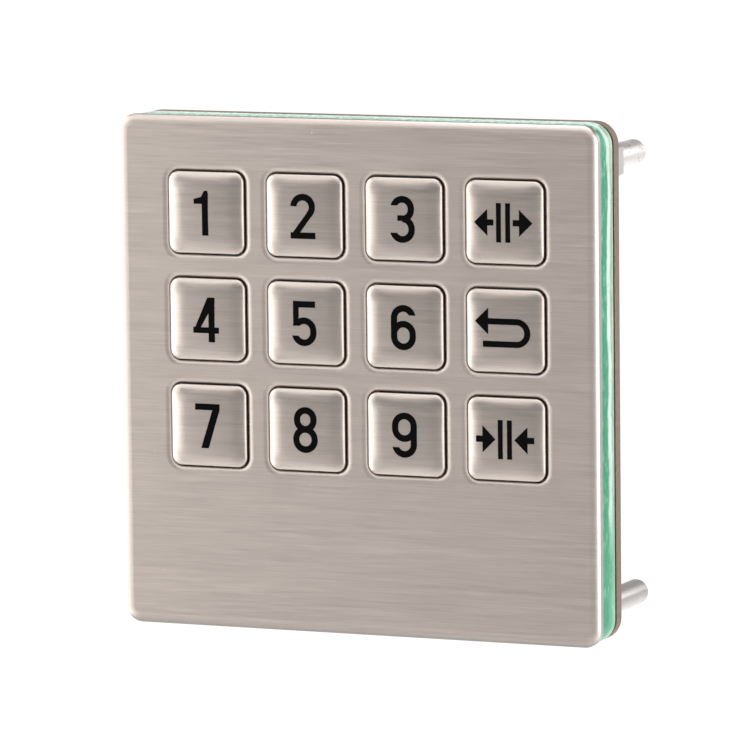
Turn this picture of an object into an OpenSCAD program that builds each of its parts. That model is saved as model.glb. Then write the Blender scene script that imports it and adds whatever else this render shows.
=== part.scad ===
/* [Face plate] */
// Width and height of the square face plate
plate_w = 101; // [98:1:110]
// Thickness of the steel face plate
plate_t = 2; // [1.5:0.1:3]
// Radius of the plate's four corners
corner_r = 3.5; // [2:0.5:6]
// Bevel round the plate's front edge
edge_bevel = 0.5; // [0.2:0.1:0.8]
// How far the plate's centre sits above the middle of the stud pattern
plate_z = 0.9; // [0:0.1:1.2]

/* [Keys] */
// Distance from one key to the next, both ways
key_pitch = 21; // [20.5:0.1:21.2]
// Width and height of a key's cap
key_w = 16.1; // [14:0.1:16.4]
// Gap between a cap and its window, on each side
key_gap = 0.2; // [0.15:0.05:0.35]
// How far a cap stands out of the plate
key_crown = 1; // [0.6:0.1:1.6]
// Bevel round a cap's front edge
key_bevel = 0.6; // [0.3:0.1:0.8]
// Corner radius of a cap
key_r = 2; // [1:0.1:3]
// How far a key goes in when pressed
key_travel = 0.45; // [0.3:0.05:0.5]
// Height of a digit
digit_h = 8.8; // [7:0.1:10]
// Width of a digit
digit_w = 5.2; // [4.4:0.1:6.4]
// Width of a digit's stroke
stroke = 1.3; // [0.8:0.05:1.6]
// Depth of the engraving that holds the black filling
engrave = 0.25; // [0.15:0.05:0.4]

/* [Layers] */
// Thickness of the green spacer frame
spacer_t = 6.2; // [5.5:0.1:8]
// Thickness of the dark gasket behind it
gasket_t = 1; // [0.8:0.1:1.5]
// Thickness of the brown back plate
back_t = 2.6; // [1.5:0.1:4]
// Radius of the corners of the layers behind the face
layer_r = 4.5; // [2:0.5:6]
// How far the gasket is set in from the outline
gasket_inset = 0.15; // [0.1:0.05:1]

/* [Studs] */
// Distance from the plate's left and right edges to a stud's centre
stud_in_x = 5; // [4.5:0.1:5]
// Mean distance from the plate's top and bottom edges to a stud's centre
stud_in_z = 7; // [5:0.5:7]
// Diameter of a mounting stud
stud_d = 5; // [4:0.5:5]
// How far a stud reaches past the back plate
stud_out = 21.6; // [12:0.1:40]
// Thickness of the nuts on the upper pair of studs
nut_t = 4; // [3:0.1:6]
// Width of a nut across its flats
nut_af = 9; // [7:0.1:9.4]

/* [Hidden] */
$fn = 48;

// Depths are measured back from the plate's front face.
spacer_at = plate_t;
gasket_at = spacer_at + spacer_t;
back_at = gasket_at + gasket_t;
stack = back_at + back_t;
mount_at = stack + nut_t;
stud_end = stack + stud_out;

// Keys
window_w = key_w + 2 * key_gap;
window_r = key_r + key_gap;
lip = 0.9;
flange_at = plate_t + 0.05;
flange_t = 0.7;
proud = 0.02;
row_z = [1.5 * key_pitch, 0.5 * key_pitch, -0.5 * key_pitch];
col_x = [-1.5 * key_pitch, -0.5 * key_pitch, 0.5 * key_pitch, 1.5 * key_pitch];

// Switch mat and board, both inside the spacer's opening
open_w = plate_w - 16.8;
board_w = open_w - 0.8;
board_t = 1.6;
board_back = gasket_at - 0.2;
board_at = board_back - board_t;
web_t = 1;
web_at = board_at - web_t;
dome_at = flange_at + flange_t + 0.05;
pill_at = dome_at + 1;
pad_t = 0.05;
pill_end = board_at - pad_t - key_travel - 0.05;
standoff_r = 1.9;
standoffs = [[-key_pitch, key_pitch], [key_pitch, key_pitch], [-key_pitch, 0], [key_pitch, 0],
    [-key_pitch, -key_pitch - 3], [key_pitch, -key_pitch - 3]];
part_t = 0.7;

// Studs, nuts and screws
stud_dx = plate_w - 2 * stud_in_x;
stud_dz = plate_w - 2 * stud_in_z;
stud_r = stud_d / 2;
neck_r = stud_r - 0.2;
screw_r = 1.2;
screw_x = plate_w / 2 - 4.4;
back_spots = [[-screw_x, 16], [screw_x, 16], [-screw_x, -16], [screw_x, -16], [0, screw_x], [0, -screw_x]];

// Socket for the lead
header_w = 17.4;
header_h = 6.4;
header_z = -32;
header_t = 6;
pin_pitch = 2.5;

steel = [0.66, 0.63, 0.60];
bright = [0.80, 0.79, 0.77];
green = [0.36, 0.64, 0.52];
brown = [0.61, 0.55, 0.49];
dark = [0.30, 0.28, 0.20];
black = [0.05, 0.05, 0.05];
board_green = [0.10, 0.35, 0.22];

// Lays a flat outline against depth d and gives it thickness t
module slab(d, t) {
    translate([0, d - mount_at + t, plate_z])
        rotate([90, 0, 0])
            linear_extrude(t)
                children();
}

// Moves a piece from the mounting plane to depth d
module deep(d) {
    translate([0, d - mount_at, plate_z])
        children();
}

// Turns a piece drawn along +Z so that it runs back along +Y
module backwards() {
    rotate([-90, 0, 0])
        children();
}

module round_square(w, h, r) {
    square([w - 2 * r, h], center = true);
    square([w, h - 2 * r], center = true);
    for (sx = [-1, 1], sy = [-1, 1])
        translate([sx * (w / 2 - r), sy * (h / 2 - r)])
            circle(r);
}

// Waste that bevels the front edge of a square of width w whose front is at depth d
module bevel_waste(w, r, c, d) {
    over = 0.15;
    deep(d)
        backwards() {
            for (turn = [0:3])
                rotate([0, 0, 90 * turn]) {
                    translate([0, -w / 2 + r, 0])
                        rotate([90, 0, 90])
                            translate([0, 0, -w / 2 + r])
                                linear_extrude(w - 2 * r)
                                    polygon([[-r - over, c + over], [-r - over, -over],
                                        [c + over - r, -over]]);
                    translate([w / 2 - r, w / 2 - r, 0])
                        rotate_extrude(angle = 90)
                            polygon([[r + over, c + over], [r + over, -over], [r - c - over, -over]]);
                }
        }
}

module post(x, z, r, d0, d1) {
    translate([x, 0, z])
        deep(d0)
            backwards()
                cylinder(r = r, h = d1 - d0);
}

module cone(x, z, r0, r1, d0, d1) {
    translate([x, 0, z])
        deep(d0)
            backwards()
                cylinder(r1 = r0, r2 = r1, h = d1 - d0);
}

module block(x, z, w, h, d0, d1) {
    translate([x - w / 2, d0 - mount_at, z - h / 2 + plate_z])
        cube([w, d1 - d0, h]);
}

module at_key(k) {
    translate([col_x[k % 4], 0, row_z[floor(k / 4)]])
        children();
}

module at_all_keys() {
    for (k = [0:11])
        at_key(k)
            children();
}

module at_studs() {
    for (sx = [-1, 1], sz = [-1, 1])
        translate([sx * stud_dx / 2, 0, sz * stud_dz / 2 - plate_z])
            children();
}

// Face and layers -------------------------------------------------------------------------------

module face_plate() color(steel) difference() {
    slab(0, plate_t)
        round_square(plate_w, plate_w, corner_r);
    bevel_waste(plate_w, corner_r, edge_bevel, 0);
    at_all_keys()
        slab(-1, plate_t + 2)
            round_square(window_w, window_w, window_r);
    for (s = back_spots)
        post(s[0], s[1], screw_r + 0.02, 0.7, plate_t + 1);
}

module layer_holes(d, t, r) {
    at_studs()
        post(0, 0, r, d - 1, d + t + 1);
    for (s = back_spots)
        post(s[0], s[1], screw_r + 0.15, d - 1, d + t + 1);
}

module spacer_frame() color(green) difference() {
    slab(spacer_at, spacer_t)
        difference() {
            round_square(plate_w, plate_w, layer_r);
            round_square(open_w, open_w, 1.5);
        }
    layer_holes(spacer_at, spacer_t, stud_r + 0.5);
}

module gasket() color(dark) difference() {
    slab(gasket_at, gasket_t)
        difference() {
            round_square(plate_w - 2 * gasket_inset, plate_w - 2 * gasket_inset, layer_r - gasket_inset);
            round_square(open_w, open_w, 1.5);
        }
    layer_holes(gasket_at, gasket_t, stud_r + 0.2);
}

module back_plate() color(brown) difference() {
    slab(back_at, back_t)
        round_square(plate_w, plate_w, layer_r);
    layer_holes(back_at, back_t, stud_r + 0.2);
    for (s = back_spots)
        cone(s[0], s[1], screw_r + 0.15, 2.6, stack - 1.25, stack + 0.2);
    translate([0, 0, header_z])
        slab(back_at - 1, back_t + 2)
            round_square(header_w + 3, header_h + 3, 1);
}

// Fixings ---------------------------------------------------------------------------------------

module mounting_studs() color(bright)
    for (sx = [-1, 1]) {
        stud(sx * stud_dx / 2, stud_dz / 2, mount_at);
        stud(sx * stud_dx / 2, -stud_dz / 2, stack);
    }

// A stud on its weld flange, with a neck where the layers and any nut sit, full size from depth shoulder
module stud(x, z, shoulder) {
    tip = 0.5;
    translate([x, plate_t - mount_at, z])
        backwards()
            rotate_extrude()
                polygon([[0, 0], [stud_r + 0.3, 0], [stud_r + 0.3, 0.7], [neck_r, 0.7],
                    [neck_r, shoulder - plate_t], [stud_r, shoulder - plate_t],
                    [stud_r, stud_end - plate_t - tip], [stud_r - tip, stud_end - plate_t],
                    [0, stud_end - plate_t]]);
}

module stud_nuts() color(bright)
    for (sx = [-1, 1])
        translate([sx * stud_dx / 2, 0, stud_dz / 2 - plate_z])
            difference() {
                deep(stack)
                    rotate([-90, 30, 0])
                        cylinder(r = nut_af / sqrt(3), h = nut_t, $fn = 6);
                post(0, 0, neck_r + 0.05, stack - 1, mount_at + 1);
            }

module back_screws() color(bright)
    for (s = back_spots)
        difference() {
            union() {
                post(s[0], s[1], screw_r, 0.9, stack - 1);
                cone(s[0], s[1], screw_r, 2.3, stack - 1.15, stack - 0.05);
            }
            block(s[0], s[1], 3, 0.5, stack - 0.5, stack + 1);
            block(s[0], s[1], 0.5, 3, stack - 0.5, stack + 1);
        }

module board_standoffs() color(bright)
    for (s = standoffs)
        difference() {
            post(s[0], s[1], standoff_r, plate_t, board_at);
            post(s[0], s[1], 0.97, plate_t + 0.4, board_at + 1);
        }

module board_screws() color(bright)
    for (s = standoffs)
        difference() {
            union() {
                post(s[0], s[1], 0.95, plate_t + 0.8, board_back + 0.4);
                post(s[0], s[1], 1.9, board_back, board_back + 0.9);
            }
            block(s[0], s[1], 2.4, 0.4, board_back + 0.5, board_back + 2);
        }

// Board -----------------------------------------------------------------------------------------

module circuit_board() color(board_green) difference() {
    slab(board_at, board_t)
        round_square(board_w, board_w, 1.2);
    for (s = standoffs)
        post(s[0], s[1], 1.15, board_at - 1, board_back + 1);
}

// Each key closes a pair of half-round pads
module contact_pads() color([0.85, 0.68, 0.30])
    at_all_keys()
        difference() {
            post(0, 0, 2.6, board_at - pad_t, board_at);
            block(0, 0, 0.5, 6, board_at - 1, board_at + 1);
        }

module key_mat() color([0.72, 0.72, 0.70]) {
    difference() {
        union() {
            slab(web_at, web_t)
                round_square(board_w, board_w, 1.2);
            at_all_keys()
                cone(0, 0, 4.2, 6, dome_at, web_at + 0.2);
        }
        at_all_keys()
            cone(0, 0, 3.4, 5.4, pill_at, board_at + 0.01);
        for (s = standoffs)
            post(s[0], s[1], standoff_r + 0.35, web_at - 1, board_at + 1);
    }
}

module controller_chip() color(black) {
    block(-6, 6, 9, 9, board_back, board_back + part_t + 0.1);
    block(14, 8, 5, 6, board_back, board_back + part_t);
    for (side = [-1, 1], n = [-4:4])
        block(-6 + n * 0.9, 6 + side * 4.9, 0.4, 1, board_back, board_back + 0.2);
}

module small_parts() color([0.55, 0.45, 0.33])
    for (n = [0:7]) {
        block(-28 + n * 3.2, -9, 1.2, 2, board_back, board_back + part_t - 0.1);
        block(8 + n * 3.2, -14, 1.2, 2, board_back, board_back + part_t - 0.1);
    }

module wire_header() color([0.90, 0.88, 0.82]) difference() {
    block(0, header_z, header_w, header_h, board_back, board_back + header_t);
    block(0, header_z, header_w - 2, header_h - 2, board_back + 1.2, board_back + header_t + 1);
    block(0, header_z - header_h / 2, 3, 3, board_back + 2.6, board_back + header_t + 1);
    for (n = [0:5])
        block((n - 2.5) * pin_pitch, header_z, 0.64, 0.64, board_back - 1, board_back + 2);
}

module header_pins() color([0.85, 0.68, 0.30])
    for (n = [0:5])
        block((n - 2.5) * pin_pitch, header_z, 0.6, 0.6, board_back, board_back + header_t - 1);

// Keys ------------------------------------------------------------------------------------------

module key(k) color(steel) at_key(k) difference() {
    union() {
        slab(-key_crown, key_crown + flange_at + flange_t)
            round_square(key_w, key_w, key_r);
        slab(flange_at, flange_t)
            round_square(key_w + 2 * lip, key_w + 2 * lip, key_r + lip);
    }
    bevel_waste(key_w, key_r, key_bevel, -key_crown);
    slab(-key_crown - 1, engrave + 1)
        mark_shape(k);
}

module mark(k) color(black) at_key(k)
    slab(-key_crown - proud, engrave + proud)
        mark_shape(k);

module pill(k) color(black) at_key(k)
    post(0, 0, 2.2, pill_at, pill_end);

// Marks -----------------------------------------------------------------------------------------

module mark_shape(k) {
    if (k == 0) digit_1();
    if (k == 1) digit_2();
    if (k == 2) digit_3();
    if (k == 3) doors_apart();
    if (k == 4) digit_4();
    if (k == 5) digit_5();
    if (k == 6) digit_6();
    if (k == 7) turn_back();
    if (k == 8) digit_7();
    if (k == 9) digit_8();
    if (k == 10) rotate([0, 0, 180]) digit_6();
    if (k == 11) doors_together();
}

hw = digit_w / 2;
hh = digit_h / 2;
bowl_h = 0.65 * digit_h;
bowl_c = -hh + bowl_h / 2;
cap_c = hh - hw;

module bar(x0, y0, x1, y1) {
    translate([x0, y0])
        square([x1 - x0, y1 - y0]);
}

// An upright outline with round ends, r to each side and h high
module stadium(r, h) {
    for (s = [-1, 1])
        translate([0, s * (h / 2 - r)])
            circle(r);
    bar(-r, -h / 2 + r, r, h / 2 - r);
}

module loop(r, h) {
    difference() {
        stadium(r, h);
        stadium(r - stroke, h - 2 * stroke);
    }
}

module ring(r) {
    difference() {
        circle(r);
        circle(r - stroke);
    }
}

module digit_1() {
    stem = 0.75;
    bar(stem - stroke, -hh, stem, hh - 2);
    polygon([[stem, hh - 2.6], [stem, hh - 0.6], [stem - 0.15, hh], [stem - 0.8, hh],
        [stem - stroke - 0.15, hh - 1.2], [-2.3, hh - 1.65], [-2.3, hh - 2.6]]);
}

// The 2's slanting stroke leaves its round top along a tangent
module digit_2() {
    mid_r = hw - stroke / 2;
    foot = [-hw + 0.9, -hh + 0.6 * stroke];
    reach = norm([-foot[0], cap_c - foot[1]]);
    slant = atan2(cap_c - foot[1], -foot[0]) - asin(mid_r / reach);
    side = [sin(slant), -cos(slant)];
    half = stroke / 2 - 0.05;
    start = [0, cap_c] + mid_r * side + 0.3 * [cos(slant), sin(slant)];
    cut = slant - 103;
    translate([0, cap_c])
        difference() {
            ring(hw);
            polygon([[0, 0], [9 * cos(cut), 9 * sin(cut)], [0, -18], [-18, -9], [-9, 0.6]]);
        }
    polygon([start + half * side, start - half * side, foot - half * side, foot + half * side]);
    bar(-hw, -hh, hw, -hh + stroke * 0.95);
}

module digit_3() {
    top_h = 0.54 * digit_h;
    low_h = digit_h - top_h + 0.8 * stroke;
    translate([0, hh - top_h / 2])
        difference() {
            loop(hw * 0.95, top_h);
            bar(-hw - 1, -hw - 1, 0, top_h / 2 - 1.7);
        }
    translate([0, -hh + low_h / 2])
        difference() {
            loop(hw, low_h);
            bar(-hw - 1, -low_h / 2 + 1.8, 0, hw + 1);
        }
    bar(-1, hh - top_h + 0.1, 0.1, hh - top_h + stroke * 0.9);
}

module digit_4() {
    bar(0.55, -hh, 0.55 + stroke, hh);
    bar(-hw - 0.15, -hh + 1.75, hw + 0.15, -hh + 1.75 + stroke * 0.9);
    polygon([[0.65, hh], [0.35, hh], [-hw - 0.15, -hh + 2], [-hw - 0.15, -hh + 1.75 + stroke * 0.9],
        [-hw + 1.45, -hh + 1.75 + stroke * 0.85], [0.65, hh - 2.9]]);
}

module digit_5() {
    low_h = 0.64 * digit_h;
    bar(-hw + 0.3, hh - stroke * 0.95, hw - 0.25, hh);
    bar(-hw + 0.3, -0.1, -hw + 0.3 + stroke * 0.9, hh - 0.1);
    translate([0, -hh + low_h / 2])
        difference() {
            loop(hw, low_h);
            bar(-hw - 1, -low_h / 2 + 2, 0, low_h / 2 - 1.7);
        }
}

module digit_6() {
    translate([0, bowl_c])
        loop(hw, bowl_h);
    bar(-hw, bowl_c, -hw + stroke, cap_c);
    translate([0, cap_c])
        difference() {
            ring(hw);
            bar(-hw - 1, -hw - 1, hw + 1, 0);
            bar(hw - stroke - 0.5, -1, hw + 1, 0.6);
        }
}

module digit_7() {
    bar(-hw, hh - stroke * 0.95, hw, hh);
    polygon([[hw, hh - 0.1], [hw, hh - stroke], [0.2, -hh], [-0.1 - stroke, -hh],
        [hw - stroke * 1.15, hh - stroke + 0.1], [hw - stroke * 1.15, hh - 0.1]]);
}

module digit_8() {
    top_h = 0.52 * digit_h;
    low_h = digit_h - top_h + 0.8 * stroke;
    translate([0, hh - top_h / 2])
        loop(hw * 0.92, top_h);
    translate([0, -hh + low_h / 2])
        loop(hw, low_h);
}

// One arrow head with its point at x = 0, pointing to +X
module head(s) {
    polygon([[0, 0], [-s, s * 0.95], [-s, -s * 0.95]]);
}

module door_lines() {
    for (x = [-0.95, 0.95])
        bar(x - 0.5, -3.8, x + 0.5, 3.8);
}

module doors_apart() {
    door_lines();
    for (side = [0, 1])
        mirror([side, 0]) {
            translate([6, 0])
                head(2.7);
            bar(2, -0.6, 3.5, 0.6);
        }
}

module doors_together() {
    door_lines();
    for (side = [0, 1])
        mirror([side, 0]) {
            translate([-1.95, 0])
                head(2.7);
            bar(-6, -0.6, -4.5, 0.6);
        }
}

// An arrow that goes back round to the left
module turn_back() {
    bar(-3.6, 1.3, 2.6, 2.5);
    bar(-4.4, -3.1, 2.6, -1.9);
    translate([2.6, -0.3])
        difference() {
            circle(2.8);
            circle(1.6);
            bar(-4, -4, 0, 4);
        }
    translate([-6, 1.9])
        mirror([1, 0])
            head(2.7);
}

// The twelve keys with their marks and contacts ---------------------------------------------------

module key_1() key(0);
module key_2() key(1);
module key_3() key(2);
module key_open() key(3);
module key_4() key(4);
module key_5() key(5);
module key_6() key(6);
module key_reenter() key(7);
module key_7() key(8);
module key_8() key(9);
module key_9() key(10);
module key_close() key(11);

module mark_1() mark(0);
module mark_2() mark(1);
module mark_3() mark(2);
module mark_open() mark(3);
module mark_4() mark(4);
module mark_5() mark(5);
module mark_6() mark(6);
module mark_reenter() mark(7);
module mark_7() mark(8);
module mark_8() mark(9);
module mark_9() mark(10);
module mark_close() mark(11);

module pill_1() pill(0);
module pill_2() pill(1);
module pill_3() pill(2);
module pill_open() pill(3);
module pill_4() pill(4);
module pill_5() pill(5);
module pill_6() pill(6);
module pill_reenter() pill(7);
module pill_7() pill(8);
module pill_8() pill(9);
module pill_9() pill(10);
module pill_close() pill(11);

face_plate();
spacer_frame();
gasket();
back_plate();
mounting_studs();
stud_nuts();
back_screws();
board_standoffs();
board_screws();
circuit_board();
contact_pads();
key_mat();
controller_chip();
small_parts();
wire_header();
header_pins();
key_1();
key_2();
key_3();
key_4();
key_5();
key_6();
key_7();
key_8();
key_9();
key_open();
key_reenter();
key_close();
mark_1();
mark_2();
mark_3();
mark_4();
mark_5();
mark_6();
mark_7();
mark_8();
mark_9();
mark_open();
mark_reenter();
mark_close();
pill_1();
pill_2();
pill_3();
pill_4();
pill_5();
pill_6();
pill_7();
pill_8();
pill_9();
pill_open();
pill_reenter();
pill_close();
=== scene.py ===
import math

import bmesh
import bpy
from mathutils import Matrix, Vector


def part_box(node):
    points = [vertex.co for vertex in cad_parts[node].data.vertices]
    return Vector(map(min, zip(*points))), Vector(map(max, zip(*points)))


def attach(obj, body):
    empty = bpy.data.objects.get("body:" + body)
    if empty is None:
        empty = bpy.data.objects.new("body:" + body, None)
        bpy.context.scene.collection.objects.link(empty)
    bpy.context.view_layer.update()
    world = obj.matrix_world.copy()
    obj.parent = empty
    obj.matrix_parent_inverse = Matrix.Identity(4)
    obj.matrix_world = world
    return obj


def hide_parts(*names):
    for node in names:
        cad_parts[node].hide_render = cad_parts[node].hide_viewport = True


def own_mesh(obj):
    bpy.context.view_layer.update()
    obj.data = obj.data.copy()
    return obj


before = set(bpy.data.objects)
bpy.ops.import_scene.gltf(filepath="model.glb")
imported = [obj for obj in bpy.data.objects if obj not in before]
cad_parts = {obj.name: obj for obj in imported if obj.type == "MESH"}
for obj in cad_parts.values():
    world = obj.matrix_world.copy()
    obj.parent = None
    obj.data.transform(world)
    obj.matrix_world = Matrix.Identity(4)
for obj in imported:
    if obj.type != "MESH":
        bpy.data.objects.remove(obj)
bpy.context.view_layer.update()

MM = 0.001

# Camera -----------------------------------------------------------------------------------------


def stand_camera():
    """A long lens in front and to the right of the keypad, a little above it."""
    azimuth, elevation, tilt = math.radians(23.27), math.radians(7.17), math.radians(0.63)
    aim = Vector((4.04, -15.89, 1.8)) * MM
    away = Vector((math.sin(azimuth) * math.cos(elevation), -math.cos(azimuth) * math.cos(elevation),
                   math.sin(elevation)))
    data = bpy.data.cameras.new("camera")
    data.lens, data.sensor_width = 315.9, 36.0
    data.clip_start, data.clip_end = 0.01, 60.0
    camera = bpy.data.objects.new("camera", data)
    bpy.context.scene.collection.objects.link(camera)
    turn = (-away).to_track_quat("-Z", "Y").to_matrix().to_4x4() @ Matrix.Rotation(-tilt, 4, "Z")
    camera.matrix_world = Matrix.Translation(aim + away * 1.2776) @ turn
    bpy.context.scene.camera = camera


stand_camera()

# Finishes ---------------------------------------------------------------------------------------


class Wire:
    """One output of a finish's nodes; a sum or product of wires and numbers adds a Math node."""

    def __init__(self, finish, socket):
        self.finish, self.socket = finish, socket

    def maths(self, how, other):
        return self.finish.add("ShaderNodeMath", {"operation": how}, {0: self, 1: other})

    def __add__(self, other):
        return self.maths("ADD", other)

    def __sub__(self, other):
        return self.maths("SUBTRACT", other)

    def __mul__(self, other):
        return self.maths("MULTIPLY", other)


class Finish:
    """A material built from nodes round one Principled shader."""

    def __init__(self, name, **looks):
        self.material = bpy.data.materials.new(name)
        self.material.use_nodes = True
        self.tree = self.material.node_tree
        self.tree.nodes.clear()
        self.shader = self.tree.nodes.new("ShaderNodeBsdfPrincipled")
        end = self.tree.nodes.new("ShaderNodeOutputMaterial")
        self.tree.links.new(self.shader.outputs[0], end.inputs[0])
        self.where = self.add("ShaderNodeTexCoord", out="Object")
        for socket, value in looks.items():
            self.put(socket.replace("_", " "), value)

    def add(self, kind, settings=None, inputs=None, out=0):
        node = self.tree.nodes.new(kind)
        for key, value in (settings or {}).items():
            if key == "stops":
                ramp = node.color_ramp
                while len(ramp.elements) < len(value):
                    ramp.elements.new(0.5)
                for element, (place, colour) in zip(ramp.elements, value):
                    element.position, element.color = place, (*colour, 1)
            else:
                setattr(node, key, value)
        for key, value in (inputs or {}).items():
            self.feed(node.inputs[key], value)
        return Wire(self, node.outputs[out])

    def feed(self, socket, value):
        if isinstance(value, Wire):
            self.tree.links.new(value.socket, socket)
        elif isinstance(value, (tuple, list)) and len(value) == 3 and socket.type == "RGBA":
            socket.default_value = (*value, 1)
        else:
            socket.default_value = value

    def put(self, socket, value):
        self.feed(self.shader.inputs[socket], value)

    def along(self, axis):
        """The place along X, Y or Z (0, 1 or 2) in metres."""
        return self.add("ShaderNodeSeparateXYZ", None, {"Vector": self.where}, out=axis)

    def grain(self, stretch, detail=3.0, rough=0.5, seed=0.0, twist=0.0):
        """Noise with stretch cells a metre along X, Y and Z."""
        at = self.add("ShaderNodeMapping", None, {"Vector": self.where, "Scale": stretch,
                                                 "Location": (seed, seed * 0.7, seed * 1.3)})
        return self.add("ShaderNodeTexNoise", {"noise_dimensions": "3D"},
                        {"Vector": at, "Scale": 1.0, "Detail": detail, "Roughness": rough,
                         "Distortion": twist})

    def mix(self, amount, a, b, how="MIX"):
        return self.add("ShaderNodeMix", {"data_type": "RGBA", "blend_type": how},
                        {0: amount, 6: a, 7: b}, out=2)

    def span(self, value, low, high, to_low=0.0, to_high=1.0):
        return self.add("ShaderNodeMapRange", None, {0: value, 1: low, 2: high, 3: to_low, 4: to_high})

    def bump(self, height, depth, strength=1.0):
        self.put("Normal", self.add("ShaderNodeBump", None,
                                    {"Height": height, "Distance": depth, "Strength": strength}))


def brushed_steel(name, tone, seed, rough=0.36, edge=None):
    """Steel brushed from side to side in very fine lines, with faint smears and a few bright nicks.

    edge is (half width, middle height) of a square plate. Its rims at the top and right are lightened
    as a painted highlight; those below and at the left are darkened as painted shade.
    """
    f = Finish(name, Metallic=1.0)
    fine = f.grain((95, 95, 5200), 2.0, 0.6, seed)
    broad = f.grain((22, 22, 1100), 2.0, 0.6, seed + 3)
    smear = f.grain((26, 26, 60), 3.0, 0.55, seed + 7)
    nick = f.span(f.grain((1500, 1500, 2300), 1.0, 0.5, seed + 11), 0.84, 0.87)
    shade = fine * 0.7 + broad * 0.3
    dark = tuple(c * 0.92 for c in tone)
    light = tuple(min(1, c * 1.08) for c in tone)
    colour = f.mix(f.span(shade, 0.36, 0.64), dark, light)
    colour = f.mix(f.span(smear, 0.35, 0.75) * 0.35, colour, tuple(c * 0.88 for c in tone))
    if edge:
        half, height = edge
        across = f.along(0)
        up = f.along(2) - height
        reach = (across * across).maths("MAXIMUM", up * up)
        # painted highlight: the rims of the right half are lightened
        rim_highlight = f.span(reach, (half - 1.1 * MM) ** 2, (half - 0.2 * MM) ** 2) * f.span(across, 0, 30 * MM)
        colour = f.mix(rim_highlight * 0.6, colour, (0.400, 0.385, 0.375))
        # painted shade: the bottom rim is darkened
        under = f.span(up, 1.9 * MM - half, 0.3 * MM - half)
        colour = f.mix(under, colour, (0.130, 0.117, 0.108))
        # painted shade: the left rim is darkened
        left = f.span(across, 1.9 * MM - half, 0.3 * MM - half)
        colour = f.mix(left * 0.9, colour, (0.195, 0.183, 0.174))
    f.put("Base Color", f.mix(nick * 0.7, colour, (0.80, 0.78, 0.75)))
    f.put("Roughness", f.span(shade, 0.3, 0.7, rough - 0.03, rough + 0.05) + smear * 0.06)
    f.bump(shade, 0.000006, 0.4)
    return f.material


def turned_steel(name, tone, rough, spots, low_tone=None):
    """Plain turned steel with cutting lines round it and, where it has stood about, dull spots.

    With a low_tone, what lies below the middle is plainer and takes that darker tone as painted shade,
    while the part above keeps the lighter tone as painted light.
    """
    f = Finish(name, Metallic=1.0)
    if low_tone:
        height = f.along(2)
        upper = f.span(height, -10 * MM, 10 * MM)
        # painted light and shade: above the middle the steel takes the lighter tone, below it the darker
        tone, spots = f.mix(upper, low_tone, tone), upper * spots
    rings = f.grain((30, 4200, 30), 2.0, 0.5, 2)
    cloud = f.grain((300, 240, 300), 3.0, 0.6, 5)
    spot = f.span(f.grain((800, 620, 800), 2.0, 0.6, 9), 0.61, 0.69) * spots
    colour = f.mix(rings * 0.5, tone, f.mix(1.0, tone, (0.88,) * 3, "MULTIPLY"))
    colour = f.mix(f.span(cloud, 0.4, 0.7) * 0.3, colour, f.mix(1.0, tone, (0.82,) * 3, "MULTIPLY"))
    f.put("Base Color", f.mix(spot, colour, (0.20, 0.13, 0.10)))
    f.put("Roughness", f.span(cloud, 0.3, 0.7, rough, rough + 0.14) + spot * 0.3)
    f.bump(rings * 0.6 + cloud * 0.6 - spot, 0.00003, 0.5)
    return f.material


def green_edge(front, rear, top):
    """Cut edge of the green laminate: deep green, then white streaks that are a painted reflection, then a
    pale yellow-green.

    The streaks die out towards the bottom, where the green only grows paler to the rear.
    """
    f = Finish("green_laminate", Specular_IOR_Level=0.12)
    place = f.along(1)
    height = f.along(2)
    wander = f.grain((60, 60, 60), 3.0, 0.6, 4, 0.4)
    speck = f.grain((1100, 1100, 500), 3.0, 0.65, 21)
    blotch = f.grain((160, 300, 90), 3.0, 0.6, 13, 0.8)
    across = f.span(place, front, rear) + (wander - 0.5) * 0.55
    # the whitish stops at 0.55 and 0.70 are a painted reflection on the cut edge
    bands = f.add("ShaderNodeValToRGB", {"stops": [
        (0.00, (0.090, 0.160, 0.125)), (0.10, (0.014, 0.125, 0.066)), (0.44, (0.018, 0.135, 0.072)),
        (0.55, (0.290, 0.370, 0.330)), (0.70, (0.340, 0.390, 0.360)), (0.82, (0.150, 0.185, 0.160)),
        (1.00, (0.210, 0.290, 0.190))]}, {0: across})
    plain = f.add("ShaderNodeValToRGB", {"stops": [
        (0.00, (0.090, 0.160, 0.125)), (0.10, (0.020, 0.140, 0.076)), (0.50, (0.030, 0.155, 0.088)),
        (0.80, (0.085, 0.220, 0.140)), (1.00, (0.140, 0.270, 0.165))]}, {0: across})
    bands = f.mix(f.span(height + (wander - 0.5) * 0.04, -18 * MM, -38 * MM), bands, plain)
    colour = f.mix(f.span(blotch, 0.42, 0.70) * 0.45, bands, (0.014, 0.105, 0.057))
    colour = f.mix(f.span(speck, 0.52, 0.70) * 0.30, colour, (0.300, 0.420, 0.350))
    # painted glint: a pale band along the top face
    glint = f.span(height, top - 0.0012, top - 0.0002) * f.span(speck, 0.38, 0.56)
    f.put("Base Color", f.mix(glint * 0.55, colour, (0.50, 0.60, 0.56)))
    f.put("Roughness", f.span(speck, 0.3, 0.7, 0.24, 0.42))
    f.bump(wander * 0.4 + speck * 0.6, 0.00006, 0.4)
    return f.material


def brown_board():
    """Pressed paper board, plain and slightly fibrous."""
    f = Finish("brown_board", Specular_IOR_Level=0.25)
    fibre = f.grain((240, 2600, 900), 3.0, 0.6, 6)
    patch = f.grain((60, 500, 60), 2.0, 0.5, 15)
    colour = f.mix(f.span(fibre, 0.3, 0.7), (0.060, 0.044, 0.032), (0.125, 0.095, 0.073))
    f.put("Base Color", f.mix(f.span(patch, 0.35, 0.7) * 0.4, colour, (0.078, 0.057, 0.040)))
    f.put("Roughness", f.span(fibre, 0.3, 0.7, 0.50, 0.70))
    f.bump(fibre, 0.00004, 0.5)
    return f.material


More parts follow.
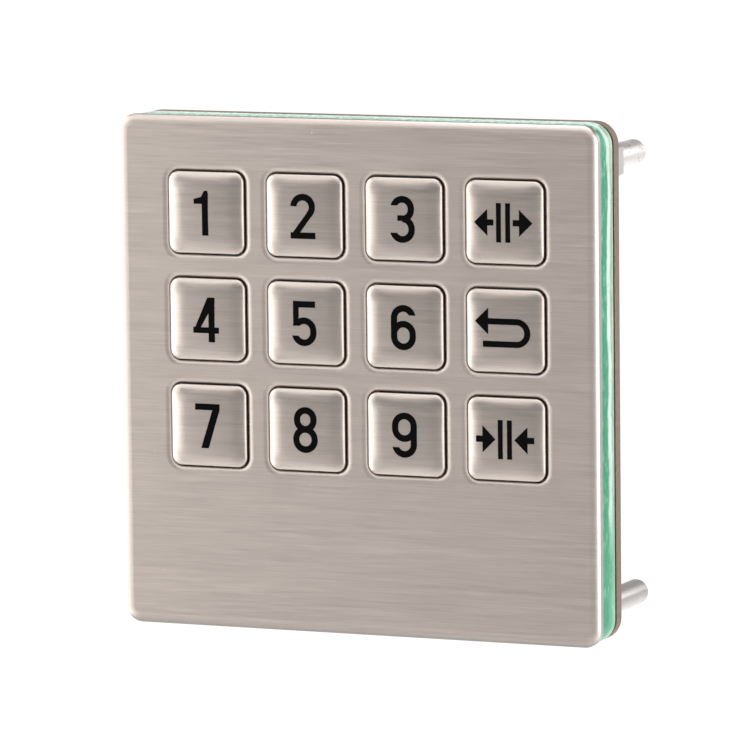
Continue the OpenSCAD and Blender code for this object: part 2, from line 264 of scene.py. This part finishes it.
def moulded(name, tone, rough=0.45, grain=900, depth=0.00002, metallic=0.0, lift=0.12, gloss=0.5):
    """Plain material with a fine grain in its colour, gloss and surface."""
    f = Finish(name, Metallic=metallic, Specular_IOR_Level=gloss)
    fine = f.grain((grain, grain, grain), 3.0, 0.55, len(name))
    broad = f.grain((grain / 12, grain / 12, grain / 12), 2.0, 0.5, len(name) + 5)
    low = tuple(c * (1 - lift) for c in tone)
    high = tuple(min(1, c * (1 + lift)) for c in tone)
    f.put("Base Color", f.mix(f.span(fine * 0.6 + broad * 0.4, 0.35, 0.65), low, high))
    f.put("Roughness", f.span(fine, 0.3, 0.7, rough - 0.06, rough + 0.08))
    f.bump(fine, depth, 0.5)
    return f.material


def solder_mask():
    """Green board with faint tracks showing through the lacquer."""
    f = Finish("board_green", Coat_Weight=0.3, Coat_Roughness=0.2)
    tracks = f.span(f.grain((420, 420, 70), 0.0, 0.5, 3), 0.50, 0.53)
    weave = f.grain((1500, 1500, 1500), 2.0, 0.5, 8)
    colour = f.mix(tracks * 0.6, (0.020, 0.120, 0.060), (0.045, 0.210, 0.105))
    f.put("Base Color", f.mix(f.span(weave, 0.3, 0.7) * 0.2, colour, (0.05, 0.17, 0.09)))
    f.put("Roughness", f.span(weave, 0.3, 0.7, 0.28, 0.4))
    f.bump(tracks * 0.7 + weave * 0.3, 0.00003, 0.6)
    return f.material


green_lo, green_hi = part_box("spacer_frame")
plate_lo, plate_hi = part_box("face_plate")
# the edge argument paints a highlight on the plate's top and right rims and shade on its bottom and left
# rims
FACE = brushed_steel("face_steel", (0.278, 0.243, 0.220), 1.0,
                     edge=(plate_hi[0], (plate_lo[2] + plate_hi[2]) / 2))
KEYS = brushed_steel("key_steel", (0.268, 0.235, 0.213), 5.0, 0.30)
# upper studs in the lighter tone, lower studs in the darker: painted light and shade
STUD = turned_steel("stud_steel", (0.60, 0.58, 0.565), 0.30, 0.7, (0.43, 0.405, 0.395))
NUT = turned_steel("nut_steel", (0.40, 0.39, 0.38), 0.40, 0.3)
GREEN = green_edge(green_lo[1], green_hi[1], green_hi[2])
BROWN = brown_board()
INK = moulded("mark_black", (0.002, 0.002, 0.002), 0.85, 2500, 0.00001, gloss=0.0)
FINISHES = {
    "face_plate": FACE,
    "spacer_frame": GREEN,
    # the gasket is black, and its near-black colour also stands in for the shadowed groove between the
    # green and brown layers: painted shade
    "gasket": moulded("dark_gasket", (0.018, 0.018, 0.010), 0.7, 1400, 0.00004, lift=0.3, gloss=0.0),
    "back_plate": BROWN,
    "mounting_studs": STUD,
    "stud_nuts": NUT,
    "back_screws": turned_steel("screw_steel", (0.66, 0.65, 0.62), 0.28, 0.2),
    "board_standoffs": moulded("standoff_brass", (0.72, 0.52, 0.22), 0.28, 700, metallic=1.0),
    "board_screws": turned_steel("board_screw_steel", (0.62, 0.61, 0.58), 0.3, 0.2),
    "circuit_board": solder_mask(),
    "contact_pads": moulded("pad_gold", (0.83, 0.60, 0.22), 0.25, 1200, metallic=1.0),
    "key_mat": moulded("silicone", (0.46, 0.46, 0.44), 0.55, 600, 0.00003),
    "controller_chip": moulded("chip_black", (0.02, 0.02, 0.02), 0.5, 2000),
    "small_parts": moulded("ceramic_tan", (0.34, 0.24, 0.14), 0.4, 1800),
    "wire_header": moulded("header_cream", (0.70, 0.67, 0.56), 0.4, 500, 0.00002, lift=0.05),
    "header_pins": moulded("pin_gold", (0.83, 0.60, 0.22), 0.25, 1200, metallic=1.0),
}
CARBON = moulded("carbon", (0.02, 0.02, 0.02), 0.7, 1500, 0.00003)

# Shapes -----------------------------------------------------------------------------------------

CORNER_STEPS = 8


def ring(bm, x, z, w, h, r, y, cuts=0):
    """A loop of edges round a rectangle with rounded corners, standing at depth y. Returns its edges."""
    draft = bmesh.new()
    corners = [draft.verts.new((x + sx * w / 2, y, z + sz * h / 2))
               for sx, sz in ((-1, -1), (1, -1), (1, 1), (-1, 1))]
    draft.faces.new(corners)
    bmesh.ops.bevel(draft, geom=corners, offset=min(r, w * 0.4999, h * 0.4999), segments=CORNER_STEPS,
                    profile=0.5, affect="VERTICES", material=-1)
    if cuts:
        straights = sorted(draft.edges, key=lambda edge: edge.calc_length())[-4:]
        bmesh.ops.subdivide_edges(draft, edges=straights, cuts=cuts)
    draft.faces.ensure_lookup_table()
    verts = [bm.verts.new(v.co) for v in draft.faces[0].verts]
    draft.free()
    return [bm.edges.new((a, b)) for a, b in zip(verts, verts[1:] + verts[:1])]


def bridge(bm, rings):
    for a, b in zip(rings, rings[1:]):
        bmesh.ops.bridge_loops(bm, edges=a + b)


def rim(width, depth=None, steps=6):
    """(step in from the side, step back from the front) round a quarter ellipse, front first."""
    turns = [math.radians(90 * n / steps) for n in range(steps + 1)]
    return [(width * (1 - math.sin(t)), (depth or width) * (1 - math.cos(t))) for t in turns]


def pierced_slab(bm, mid, w, r, y0, y1, front, rear, holes):
    """A square slab round mid, from y0 back to y1, with shaped edges.

    Each hole is (x, z, w, h, r, front rim, rear rim); a rim is None or (width, depth).
    """
    def stack(x, z, hw, hh, hr, sign, lead, tail):
        steps = [(d, y0 + b) for d, b in rim(*lead)] if lead else [(0, y0)]
        steps += [(d, y1 - b) for d, b in reversed(rim(*tail))] if tail else [(0, y1)]
        return [ring(bm, x, z, hw + sign * 2 * d, hh + sign * 2 * d, hr + sign * d, y) for d, y in steps]

    loops = [stack(*mid, w, w, r, -1, front, rear)]
    loops += [stack(x, z, hw, hh, hr, 1, lead, tail) for x, z, hw, hh, hr, lead, tail in holes]
    for rings in loops:
        bridge(bm, rings)
    for end in (0, -1):
        bmesh.ops.triangle_fill(bm, use_beauty=True, use_dissolve=False,
                                edges=[e for rings in loops for e in rings[end]])


def turned(bm, x, z, outline):
    """Spins an outline of (radius, y) about an axis along Y through (x, z)."""
    verts = [bm.verts.new((x + radius, y, z)) for radius, y in outline]
    edges = [bm.edges.new(pair) for pair in zip(verts, verts[1:])]
    bmesh.ops.spin(bm, geom=verts + edges, cent=(x, 0, z), axis=(0, 1, 0), dvec=(0, 0, 0),
                   angle=2 * math.pi, steps=48, use_merge=True, use_duplicate=False)


def piece(bm, name, finish, body, stands_for, crease=30):
    """Makes the mesh an object on its body, in place of the CAD nodes it stands for."""
    bmesh.ops.remove_doubles(bm, verts=bm.verts, dist=1e-7)
    bmesh.ops.recalc_face_normals(bm, faces=bm.faces)
    for face in bm.faces:
        face.smooth = True
    for edge in bm.edges:
        edge.smooth = edge.calc_face_angle(0) < math.radians(crease)
    mesh = bpy.data.meshes.new(name)
    bm.to_mesh(mesh)
    bm.free()
    mesh.materials.append(finish)
    thing = bpy.data.objects.new(name, mesh)
    bpy.context.scene.collection.objects.link(thing)
    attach(thing, body)
    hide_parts(*stands_for)
    return thing


# Measures from the frame ------------------------------------------------------------------------

KEY_NAMES = ["1", "2", "3", "open", "4", "5", "6", "reenter", "7", "8", "9", "close"]
back_lo, back_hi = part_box("back_plate")
stud_lo, stud_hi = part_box("mounting_studs")
nut_lo, nut_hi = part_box("stud_nuts")
PLATE_W = plate_hi[0] - plate_lo[0]
PLATE_R = 3.5 * MM
LAYER_R = 4.5 * MM
LIP = 0.9 * MM
GAP = 0.2 * MM
KEY_R = 2 * MM
STUD_FLANGE = 2.8 * MM
STUD_R = 2.5 * MM
STUD_NECK = 2.3 * MM
MAT_WEB = 1 * MM
MAT_ROOF = 1 * MM
STANDOFF_SPOTS = [(x, z) for x in (-21, 21) for z in (21, 0, -24)]
BACK_SCREW_IN = 4.4 * MM
SPACER_WALLS = 16.8 * MM


def middle(node):
    lo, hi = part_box(node)
    return (lo[0] + hi[0]) / 2, (lo[2] + hi[2]) / 2


MID = middle("face_plate")
key_lo, key_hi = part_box("key_5")
CAP_W = key_hi[0] - key_lo[0] - 2 * LIP
WINDOW_W = CAP_W + 2 * GAP

# Face plate -------------------------------------------------------------------------------------


def make_face():
    """The plate, with its windows' front rims drawn in a little as punching leaves them."""
    bm = bmesh.new()
    window = (WINDOW_W, WINDOW_W, KEY_R + GAP, (1.2 * MM, 0.55 * MM), None)
    windows = [(*middle("key_" + n), *window) for n in KEY_NAMES]
    pierced_slab(bm, MID, PLATE_W, PLATE_R, plate_lo[1], plate_hi[1], (2.0 * MM, 0.8 * MM),
                 (0.15 * MM, 0.15 * MM), windows)
    flatten(piece(bm, "face", FACE, "housing", ["face_plate"]))


def flatten(thing):
    """Big flat faces are shaded flat, so that the rounded rims don't tint them."""
    for polygon in thing.data.polygons:
        if abs(polygon.normal.y) > 0.9999:
            polygon.use_smooth = False


make_face()

# Key caps ---------------------------------------------------------------------------------------


def make_cap(name):
    """A pillow-topped, very slightly domed cap on its retaining flange."""
    x, z = middle("key_" + name)
    lo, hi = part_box("key_" + name)
    front, rear = lo[1], hi[1]
    flange_front = rear - 0.7 * MM
    half, width, dome = CAP_W / 2, 3.4 * MM, 0.18 * MM
    fall = plate_lo[1] - 0.05 * MM - front - dome
    bm = bmesh.new()
    outer = CAP_W + 2 * LIP
    rings = [ring(bm, x, z, outer, outer, KEY_R + LIP, y, 6) for y in (rear, flange_front)]
    rings.append(ring(bm, x, z, CAP_W, CAP_W, KEY_R, flange_front, 6))
    turns = [math.radians(90 * n / 12) for n in range(13)]
    crown = [(width * (1 - math.cos(t)), fall * (1 - math.sin(t))) for t in turns]
    crown += [(width + (half - width) * n / 6, 0) for n in range(1, 5)]
    for inset, drop in crown:
        side = 2 * (half - inset)
        edges = ring(bm, x, z, side, side, KEY_R - inset * 0.25, front + drop, 6)
        for v in {v for edge in edges for v in edge.verts}:
            v.co.y += dome * min(1, ((v.co.x - x) ** 2 + (v.co.z - z) ** 2) / half ** 2)
        rings.append(edges)
    bridge(bm, rings)
    for end in (rings[0], rings[-1]):
        bmesh.ops.edgeloop_fill(bm, edges=end)
    piece(bm, "cap_top_" + name, KEYS, "cap_" + name, ["key_" + name], 40)


for key_name in KEY_NAMES:
    make_cap(key_name)

# Switch mat -------------------------------------------------------------------------------------


def make_mat():
    """The mat's web, and a hollow dome behind each key, shaped at rest; nothing here flattens it as the
    key goes in.
    """
    lo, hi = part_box("key_mat")
    web = hi[1] - MAT_WEB
    holes = [(*middle("key_" + n), 10.8 * MM, 10.8 * MM, 5.4 * MM, None, None) for n in KEY_NAMES]
    holes += [(x * MM, MID[1] + z * MM, 4.5 * MM, 4.5 * MM, 2.25 * MM, None, None)
              for x, z in STANDOFF_SPOTS]
    bm = bmesh.new()
    pierced_slab(bm, MID, hi[0] - lo[0], 1.2 * MM, web, hi[1], None, None, holes)
    flatten(piece(bm, "mat_web", FINISHES["key_mat"], "housing", ["key_mat"]))
    roof = lo[1] + MAT_ROOF
    outline = [(0, lo[1]), (3.9 * MM, lo[1]), (4.2 * MM, lo[1] + 0.2 * MM), (5.8 * MM, web),
               (4.7 * MM, web), (3.5 * MM, roof + 0.2 * MM), (3.3 * MM, roof), (0, roof)]
    for name in KEY_NAMES:
        x, z = middle("key_" + name)
        bm = bmesh.new()
        turned(bm, x, z, outline)
        dome = piece(bm, "mat_dome_" + name, FINISHES["key_mat"], "housing", ["key_mat"])
        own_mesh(dome)


make_mat()

# Layers -----------------------------------------------------------------------------------------


def make_spacer():
    bm = bmesh.new()
    opening = PLATE_W - SPACER_WALLS
    pierced_slab(bm, MID, PLATE_W, LAYER_R, green_lo[1], green_hi[1], (0.12 * MM, 0.12 * MM),
                 (0.05 * MM, 0.05 * MM), [(*MID, opening, opening, 1.5 * MM, None, None)])
    flatten(piece(bm, "green_layer", GREEN, "housing", ["spacer_frame"]))


make_spacer()


def make_back():
    bm = bmesh.new()
    stud_x, stud_z = stud_hi[0] - STUD_FLANGE, stud_hi[2] - STUD_FLANGE
    side = PLATE_W / 2 - BACK_SCREW_IN
    small = (0.2 * MM, 0.2 * MM)
    holes = [(sx * stud_x, sz * stud_z, 5.4 * MM, 5.4 * MM, 2.7 * MM, None, small)
             for sx in (-1, 1) for sz in (-1, 1)]
    screws = [(sx * side, sz * 16 * MM) for sx in (1, -1) for sz in (1, -1)] + [(0, side), (0, -side)]
    countersink = (1.15 * MM, 1.15 * MM)
    holes += [(x, MID[1] + z, 2.7 * MM, 2.7 * MM, 1.35 * MM, None, countersink) for x, z in screws]
    lo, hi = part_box("wire_header")
    wide, tall = hi[0] - lo[0] + 3 * MM, hi[2] - lo[2] + 3 * MM
    holes.append((*middle("wire_header"), wide, tall, 1 * MM, None, small))
    pierced_slab(bm, MID, PLATE_W, LAYER_R, back_lo[1], back_hi[1], (0.15 * MM, 0.15 * MM),
                 (0.3 * MM, 0.3 * MM), holes)
    flatten(piece(bm, "brown_layer", BROWN, "housing", ["back_plate"]))


make_back()

# Studs and nuts ---------------------------------------------------------------------------------


def make_studs():
    bm = bmesh.new()
    stud_x, stud_z = stud_hi[0] - STUD_FLANGE, stud_hi[2] - STUD_FLANGE
    start, tip = stud_lo[1], stud_hi[1]
    nose = [(STUD_R - d, tip - b) for d, b in reversed(rim(1.1 * MM, 0.9 * MM))]
    for sx in (-1, 1):
        for sz in (-1, 1):
            shoulder = nut_hi[1] if sz > 0 else back_hi[1]
            outline = [(0, start), (STUD_FLANGE, start), (STUD_FLANGE, start + 0.7 * MM),
                       (STUD_NECK, start + 0.7 * MM), (STUD_NECK, shoulder), (STUD_R, shoulder),
                       *nose, (0, tip)]
            turned(bm, sx * stud_x, sz * stud_z, outline)
    flatten(piece(bm, "studs", STUD, "housing", ["mounting_studs"]))


def make_nuts():
    """Hexagon nuts with their corners turned off on both faces."""
    bm = bmesh.new()
    flat = nut_hi[0] - (stud_hi[0] - STUD_FLANGE)
    corner, bore = flat / math.cos(math.radians(30)), STUD_NECK + 0.05 * MM
    y0, y1 = nut_lo[1], nut_hi[1]
    face = flat * 0.96
    levels = [(y0, bore), (y0, face), (y0 + 0.35 * MM, corner), (y1 - 0.35 * MM, corner), (y1, face),
              (y1, bore)]
    for side in (-1, 1):
        x, z = side * (stud_hi[0] - STUD_FLANGE), stud_hi[2] - STUD_FLANGE
        loops = []
        for y, reach in levels:
            made = bmesh.ops.create_circle(bm, cap_ends=False, radius=1, segments=72)["verts"]
            for v in made:
                turn = math.atan2(v.co.y, v.co.x)
                off = (turn + math.radians(30)) % math.radians(60) - math.radians(30)
                size = min(flat / math.cos(off), reach)
                v.co = Vector((x + size * math.cos(turn), y, z + size * math.sin(turn)))
            loops.append(list({e for v in made for e in v.link_edges}))
        loops.append(loops[0])
        bridge(bm, loops)
    flatten(piece(bm, "nuts", NUT, "housing", ["stud_nuts"], 20))


make_studs()
make_nuts()

# CAD nodes that stay ----------------------------------------------------------------------------


def coat(node, finish):
    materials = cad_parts[node].data.materials
    materials.clear()
    materials.append(finish)


for node_name, finish in FINISHES.items():
    coat(node_name, finish)
for key_name in KEY_NAMES:
    coat("key_" + key_name, KEYS)
    coat("mark_" + key_name, INK)
    coat("pill_" + key_name, CARBON)

# Floor and light --------------------------------------------------------------------------------


def lay_floor():
    bm = bmesh.new()
    bmesh.ops.create_grid(bm, x_segments=2, y_segments=2, size=9)
    bmesh.ops.translate(bm, verts=bm.verts, vec=(0, 4, -0.42))
    mesh = bpy.data.meshes.new("floor")
    bm.to_mesh(mesh)
    bm.free()
    floor = bpy.data.objects.new("floor", mesh)
    bpy.context.scene.collection.objects.link(floor)
    f = Finish("pale_floor", Roughness=0.8)
    f.put("Base Color", f.mix(f.grain((2, 2, 2), 2.0, 0.5, 1), (0.90, 0.90, 0.90), (0.93, 0.93, 0.93)))
    mesh.materials.append(f.material)


def soft_box(name, azimuth, elevation, away, size, glow, tall=None):
    """A square lamp that looks at the keypad; glow is how bright its face is."""
    a, e = math.radians(azimuth), math.radians(elevation)
    side = Vector((math.sin(a) * math.cos(e), -math.cos(a) * math.cos(e), math.sin(e)))
    data = bpy.data.lights.new(name, "AREA")
    data.shape, data.size, data.size_y = "RECTANGLE", size, tall or size
    data.energy = glow * math.pi * size * (tall or size)
    lamp = bpy.data.objects.new(name, data)
    bpy.context.scene.collection.objects.link(lamp)
    lamp.location = side * away
    lamp.rotation_mode = "QUATERNION"
    lamp.rotation_quaternion = side.to_track_quat("Z", "Y")


def light():
    world = bpy.data.worlds.new("room")
    bpy.context.scene.world = world
    world.use_nodes = True
    world.node_tree.nodes["Background"].inputs[0].default_value = (1, 1, 1, 1)
    world.node_tree.nodes["Background"].inputs[1].default_value = 0.5
    data = bpy.data.lights.new("ceiling", "SUN")
    data.energy, data.angle = 2.15, math.radians(60)
    ceiling = bpy.data.objects.new("ceiling", data)
    bpy.context.scene.collection.objects.link(ceiling)
    soft_box("left_box", -82, 4, 0.46, 0.84, 4.6, 0.7)
    soft_box("right_box", 70, 5, 0.7, 1.15, 4.2, 0.7)
    soft_box("top_box", 0, 58, 0.75, 1.05, 2.6)
    soft_box("rear_box", 150, 14, 0.9, 0.4, 2.4)
    bpy.context.scene.view_settings.view_transform = "Standard"


lay_floor()
light()
